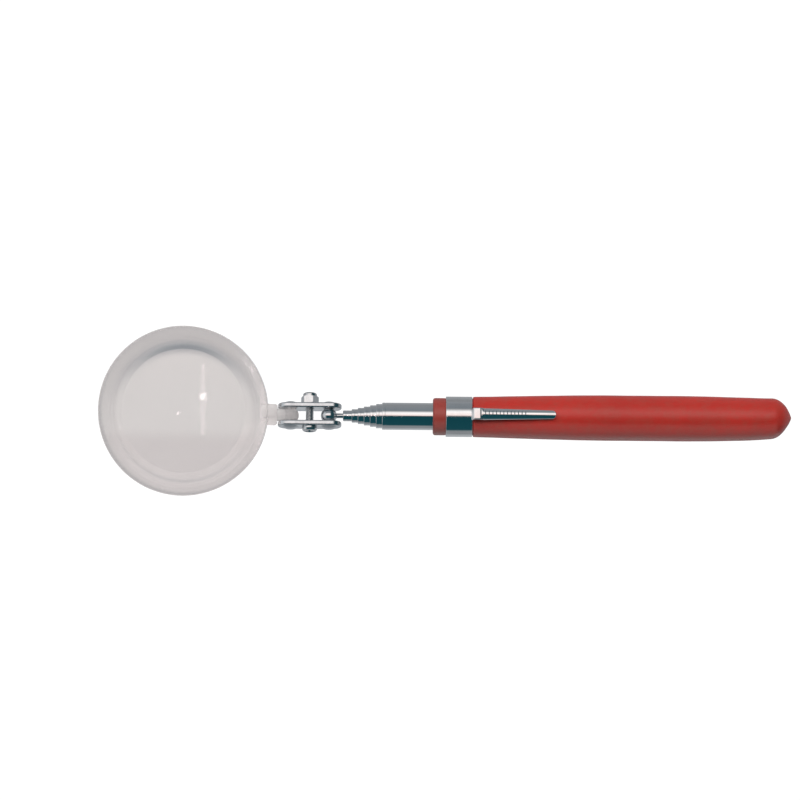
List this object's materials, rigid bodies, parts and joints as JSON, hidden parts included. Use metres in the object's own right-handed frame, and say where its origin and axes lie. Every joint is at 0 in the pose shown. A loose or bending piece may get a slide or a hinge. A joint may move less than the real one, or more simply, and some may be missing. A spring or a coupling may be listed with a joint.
{
  "type": "telescoping inspection magnifier",
  "caption": "Clear round magnifying lens on a double ball joint, carried by a telescopic pocket wand with a dipped grip and a pocket clip.",
  "frame": {"origin": "centre of the lens's back rim face", "axes": "+Z out of the front of the lens and towards the pocket clip; +X along the telescope from the lens to the grip; +Y across, towards the clamp's lock nut"},
  "size_m": [0.245, 0.06, 0.0185],
  "materials": {
    "clear_acrylic": "polished clear acrylic with a faint grey cast",
    "zinc_plate": "bright zinc-plated stamped steel, tumbled edges",
    "plated_screw": "zinc-plated machine screw",
    "plated_nut": "zinc-plated lock nut",
    "nylon_insert": "natural nylon",
    "polished_ball": "polished steel",
    "chromed_tube": "bright nickel-chrome plate on drawn tube",
    "bronze_spring": "phosphor bronze strip",
    "black_plug": "moulded nylon",
    "red_vinyl": "satin red dipped vinyl",
    "chromed_clip": "bright chrome plate on spring steel"
  },
  "bodies": {
    "handle": {"outer_tube": "chromed_tube", "rear_plug": "black_plug", "grip": "red_vinyl", "pocket_clip": "chromed_clip"},
    "spring_1": {"friction_spring_1": "bronze_spring"},
    "section_1": {"tube_1": "chromed_tube"},
    "spring_2": {"friction_spring_2": "bronze_spring"},
    "section_2": {"tube_2": "chromed_tube"},
    "spring_3": {"friction_spring_3": "bronze_spring"},
    "section_3": {"tube_3": "chromed_tube"},
    "spring_4": {"friction_spring_4": "bronze_spring"},
    "section_4": {"tube_4": "chromed_tube"},
    "spring_5": {"friction_spring_5": "bronze_spring"},
    "section_5": {"tube_5": "chromed_tube"},
    "spring_6": {"friction_spring_6": "bronze_spring"},
    "section_6": {"tube_6": "chromed_tube", "ball_stud": "polished_ball"},
    "clamp": {"clamp_plate_upper": "zinc_plate", "clamp_plate_lower": "zinc_plate", "clamp_screw": "plated_screw", "clamp_lock_nut": "plated_nut", "lock_nut_insert": "nylon_insert"},
    "lens_ball": {"lens_ball": "clear_acrylic"},
    "lens": {"lens": "clear_acrylic"}
  },
  "joints": [
    {"name": "section_1_slide", "type": "slide", "parent": "handle", "child": "spring_1", "axis": [-1, 0, 0], "range_m": [0, 0.1255]},
    {"name": "section_1_turn", "type": "hinge", "parent": "spring_1", "child": "section_1", "pos_m": [0.06818, -0.00133, 0.0025], "axis": [1, 0, 0], "continuous": true},
    {"name": "section_2_slide", "type": "slide", "parent": "section_1", "child": "spring_2", "axis": [-1, 0, 0], "range_m": [0, 0.12]},
    {"name": "section_2_turn", "type": "hinge", "parent": "spring_2", "child": "section_2", "pos_m": [0.06603, -0.00133, 0.0025], "axis": [1, 0, 0], "continuous": true},
    {"name": "section_3_slide", "type": "slide", "parent": "section_2", "child": "spring_3", "axis": [-1, 0, 0], "range_m": [0, 0.1144]},
    {"name": "section_3_turn", "type": "hinge", "parent": "spring_3", "child": "section_3", "pos_m": [0.06388, -0.00133, 0.0025], "axis": [1, 0, 0], "continuous": true},
    {"name": "section_4_slide", "type": "slide", "parent": "section_3", "child": "spring_4", "axis": [-1, 0, 0], "range_m": [0, 0.1089]},
    {"name": "section_4_turn", "type": "hinge", "parent": "spring_4", "child": "section_4", "pos_m": [0.06173, -0.00133, 0.0025], "axis": [1, 0, 0], "continuous": true},
    {"name": "section_5_slide", "type": "slide", "parent": "section_4", "child": "spring_5", "axis": [-1, 0, 0], "range_m": [0, 0.1033]},
    {"name": "section_5_turn", "type": "hinge", "parent": "spring_5", "child": "section_5", "pos_m": [0.05958, -0.00133, 0.0025], "axis": [1, 0, 0], "continuous": true},
    {"name": "section_6_slide", "type": "slide", "parent": "section_5", "child": "spring_6", "axis": [-1, 0, 0], "range_m": [0, 0.0978]},
    {"name": "section_6_turn", "type": "hinge", "parent": "spring_6", "child": "section_6", "pos_m": [0.05648, -0.00133, 0.0025], "axis": [1, 0, 0], "continuous": true},
    {"name": "clamp_swing", "type": "hinge", "parent": "section_6", "child": "clamp", "pos_m": [0.05148, -0.00133, 0.0025], "axis": [0, 0.9681, -0.2504], "range_deg": [-120, 120]},
    {"name": "lens_swing", "type": "hinge", "parent": "clamp", "child": "lens_ball", "pos_m": [0.03798, -0.00133, 0.0025], "axis": [0, -0.9681, 0.2504], "range_deg": [-100, 100]},
    {"name": "lens_spin", "type": "hinge", "parent": "lens_ball", "child": "lens", "pos_m": [0.03798, -0.00133, 0.0025], "axis": [-0.9994, 0.0349, 0], "continuous": true}
  ]
}
